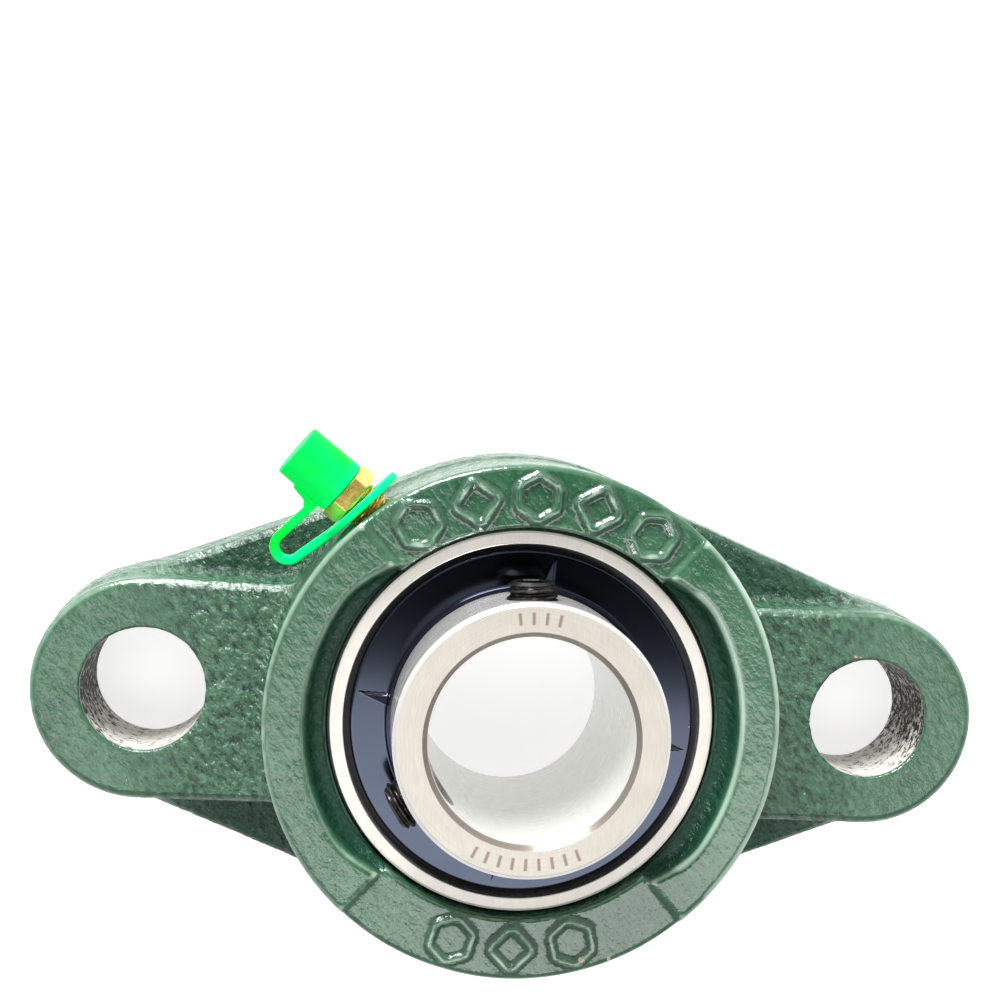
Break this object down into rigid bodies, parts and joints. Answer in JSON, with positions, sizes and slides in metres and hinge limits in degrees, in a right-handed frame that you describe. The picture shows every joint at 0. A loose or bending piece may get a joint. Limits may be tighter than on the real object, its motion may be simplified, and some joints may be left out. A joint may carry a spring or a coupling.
{
  "type": "flange mount bearing",
  "caption": "Oval two-bolt flange bearing: green cast housing, swivelling ball-bearing insert with set-screw collar, and a capped grease fitting.",
  "frame": {"origin": "on the mounting face, midway between the two bolt holes, on the shaft axis", "axes": "+Z along the shaft axis away from the mounting face, +X along the line through the bolt holes"},
  "size_m": [0.1298, 0.0692, 0.0358],
  "materials": {
    "housing_paint": "green enamel over cast iron",
    "ring_steel": "ground bearing steel",
    "ball_steel": "polished",
    "cage_steel": "pressed sheet",
    "seal_steel": "pressed sheet",
    "seal_rubber": "matt black",
    "slinger_blue": "glossy blue-black oxide",
    "screw_black": "black oxide",
    "fitting_brass": "machined",
    "cap_green": "bright green moulded plastic"
  },
  "bodies": {
    "housing": {"housing": "housing_paint", "grease_nipple_body": "fitting_brass", "grease_check_spring": "cage_steel", "cap_strap": "cap_green"},
    "insert_outer": {"outer_ring": "ring_steel", "seal_front_core": "seal_steel", "seal_front_lip": "seal_rubber", "seal_rear_core": "seal_steel", "seal_rear_lip": "seal_rubber"},
    "insert_inner": {"inner_ring": "ring_steel", "slinger_front": "slinger_blue", "slinger_rear": "slinger_blue"},
    "cage": {"cage_front_half": "cage_steel", "cage_rear_half": "cage_steel", "cage_rivets": "cage_steel"},
    "ball_1": {"ball_1": "ball_steel"},
    "ball_2": {"ball_2": "ball_steel"},
    "ball_3": {"ball_3": "ball_steel"},
    "ball_4": {"ball_4": "ball_steel"},
    "ball_5": {"ball_5": "ball_steel"},
    "ball_6": {"ball_6": "ball_steel"},
    "ball_7": {"ball_7": "ball_steel"},
    "ball_8": {"ball_8": "ball_steel"},
    "ball_9": {"ball_9": "ball_steel"},
    "set_screw_top": {"set_screw_top": "screw_black"},
    "set_screw_side": {"set_screw_side": "screw_black"},
    "check_ball": {"grease_check_ball": "ball_steel"},
    "cap": {"grease_cap": "cap_green"}
  },
  "joints": [
    {"name": "insert_tilt", "type": "hinge", "parent": "housing", "child": "insert_outer", "pos_m": [0, 0, 0.016], "axis": [1, 0, 0], "range_deg": [-5, 5]},
    {"name": "inner_spin", "type": "hinge", "parent": "insert_outer", "child": "insert_inner", "pos_m": [0, 0, 0.016], "axis": [0, 0, 1], "continuous": true},
    {"name": "cage_spin", "type": "hinge", "parent": "insert_outer", "child": "cage", "pos_m": [0, 0, 0.016], "axis": [0, 0, 1], "continuous": true},
    {"name": "ball_1_roll", "type": "hinge", "parent": "cage", "child": "ball_1", "pos_m": [0.01925, 0, 0.016], "axis": [0, 0, 1], "continuous": true},
    {"name": "ball_2_roll", "type": "hinge", "parent": "cage", "child": "ball_2", "pos_m": [0.01475, 0.01237, 0.016], "axis": [0, 0, 1], "continuous": true},
    {"name": "ball_3_roll", "type": "hinge", "parent": "cage", "child": "ball_3", "pos_m": [0.00334, 0.01896, 0.016], "axis": [0, 0, 1], "continuous": true},
    {"name": "ball_4_roll", "type": "hinge", "parent": "cage", "child": "ball_4", "pos_m": [-0.00962, 0.01667, 0.016], "axis": [0, 0, 1], "continuous": true},
    {"name": "ball_5_roll", "type": "hinge", "parent": "cage", "child": "ball_5", "pos_m": [-0.01809, 0.00658, 0.016], "axis": [0, 0, 1], "continuous": true},
    {"name": "ball_6_roll", "type": "hinge", "parent": "cage", "child": "ball_6", "pos_m": [-0.01809, -0.00658, 0.016], "axis": [0, 0, 1], "continuous": true},
    {"name": "ball_7_roll", "type": "hinge", "parent": "cage", "child": "ball_7", "pos_m": [-0.00962, -0.01667, 0.016], "axis": [0, 0, 1], "continuous": true},
    {"name": "ball_8_roll", "type": "hinge", "parent": "cage", "child": "ball_8", "pos_m": [0.00334, -0.01896, 0.016], "axis": [0, 0, 1], "continuous": true},
    {"name": "ball_9_roll", "type": "hinge", "parent": "cage", "child": "ball_9", "pos_m": [0.01475, -0.01237, 0.016], "axis": [0, 0, 1], "continuous": true},
    {"name": "set_screw_top_travel", "type": "slide", "parent": "insert_inner", "child": "set_screw_top", "axis": [-0.0349, 0.9994, 0], "range_m": [-0.0007, 0.003]},
    {"name": "set_screw_side_travel", "type": "slide", "parent": "insert_inner", "child": "set_screw_side", "axis": [-0.848, -0.5299, 0], "range_m": [-0.0007, 0.003]},
    {"name": "check_ball_press", "type": "slide", "parent": "housing", "child": "check_ball", "axis": [-0.7877, 0.611, 0.0785], "range_m": [-0.0008, 0], "stiffness_N_per_m": 200, "springref_m": 0.0005, "deforming": ["grease_check_spring"]},
    {"name": "cap_pull", "type": "slide", "parent": "housing", "child": "cap", "axis": [-0.7877, 0.611, 0.0785], "range_m": [0, 0.0065], "deforming": ["cap_strap"]}
  ],
  "couplings": [
    {"joint": "cage_spin", "follows": "inner_spin", "ratio": 0.39691},
    {"joint": "ball_1_roll", "follows": "inner_spin", "ratio": -2.322},
    {"joint": "ball_2_roll", "follows": "inner_spin", "ratio": -2.322},
    {"joint": "ball_3_roll", "follows": "inner_spin", "ratio": -2.322},
    {"joint": "ball_4_roll", "follows": "inner_spin", "ratio": -2.322},
    {"joint": "ball_5_roll", "follows": "inner_spin", "ratio": -2.322},
    {"joint": "ball_6_roll", "follows": "inner_spin", "ratio": -2.322},
    {"joint": "ball_7_roll", "follows": "inner_spin", "ratio": -2.322},
    {"joint": "ball_8_roll", "follows": "inner_spin", "ratio": -2.322},
    {"joint": "ball_9_roll", "follows": "inner_spin", "ratio": -2.322}
  ]
}
